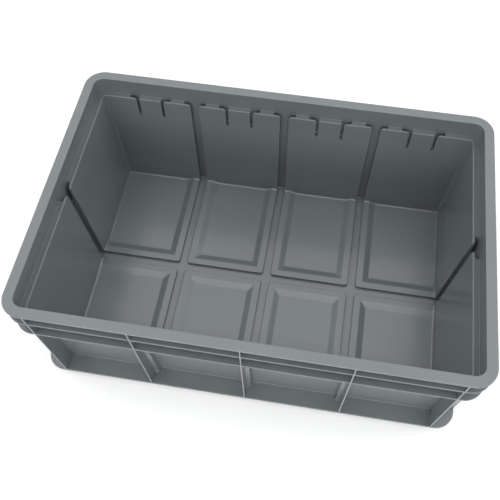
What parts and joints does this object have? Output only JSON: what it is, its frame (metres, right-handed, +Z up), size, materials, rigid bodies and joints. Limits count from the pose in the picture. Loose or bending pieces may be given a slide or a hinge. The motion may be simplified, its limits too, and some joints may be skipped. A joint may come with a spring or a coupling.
{
  "type": "stacking storage crate",
  "caption": "Open rectangular stacking crate with ribbed walls, rounded rim, divider grooves and dished floor bays.",
  "frame": {"origin": "on the ground under the centre of the crate", "axes": "+X along the length, +Y across the width towards the back long side, +Z up"},
  "size_m": [0.6, 0.4, 0.22],
  "materials": {
    "body_plastic": "satin"
  },
  "bodies": {
    "root": {"rim_front": "body_plastic", "rim_back": "body_plastic", "rim_right": "body_plastic", "rim_left": "body_plastic", "rim_skirt": "body_plastic", "front_panel_1": "body_plastic", "back_panel_1": "body_plastic", "front_panel_2": "body_plastic", "back_panel_2": "body_plastic", "front_panel_3": "body_plastic", "back_panel_3": "body_plastic", "front_panel_4": "body_plastic", "back_panel_4": "body_plastic", "front_channel_1": "body_plastic", "back_channel_1": "body_plastic", "front_channel_2": "body_plastic", "back_channel_2": "body_plastic", "front_channel_3": "body_plastic", "back_channel_3": "body_plastic", "left_panel_1": "body_plastic", "right_panel_1": "body_plastic", "left_panel_2": "body_plastic", "right_panel_2": "body_plastic", "left_channel": "body_plastic", "right_channel": "body_plastic", "corner_back_right": "body_plastic", "corner_front_left": "body_plastic", "corner_back_left": "body_plastic", "corner_front_right": "body_plastic", "upper_rib": "body_plastic", "lower_rib": "body_plastic", "base_flange": "body_plastic", "front_fin_1": "body_plastic", "back_fin_1": "body_plastic", "front_fin_2": "body_plastic", "back_fin_2": "body_plastic", "front_fin_3": "body_plastic", "back_fin_3": "body_plastic", "front_fin_4": "body_plastic", "back_fin_4": "body_plastic", "front_fin_5": "body_plastic", "back_fin_5": "body_plastic", "left_fin_1": "body_plastic", "right_fin_1": "body_plastic", "left_fin_2": "body_plastic", "right_fin_2": "body_plastic", "left_fin_3": "body_plastic", "right_fin_3": "body_plastic", "floor_plate": "body_plastic", "floor_panel_back_1": "body_plastic", "floor_panel_front_1": "body_plastic", "floor_panel_back_2": "body_plastic", "floor_panel_front_2": "body_plastic", "floor_panel_back_3": "body_plastic", "floor_panel_front_3": "body_plastic", "floor_panel_back_4": "body_plastic", "floor_panel_front_4": "body_plastic"}
  },
  "joints": []
}
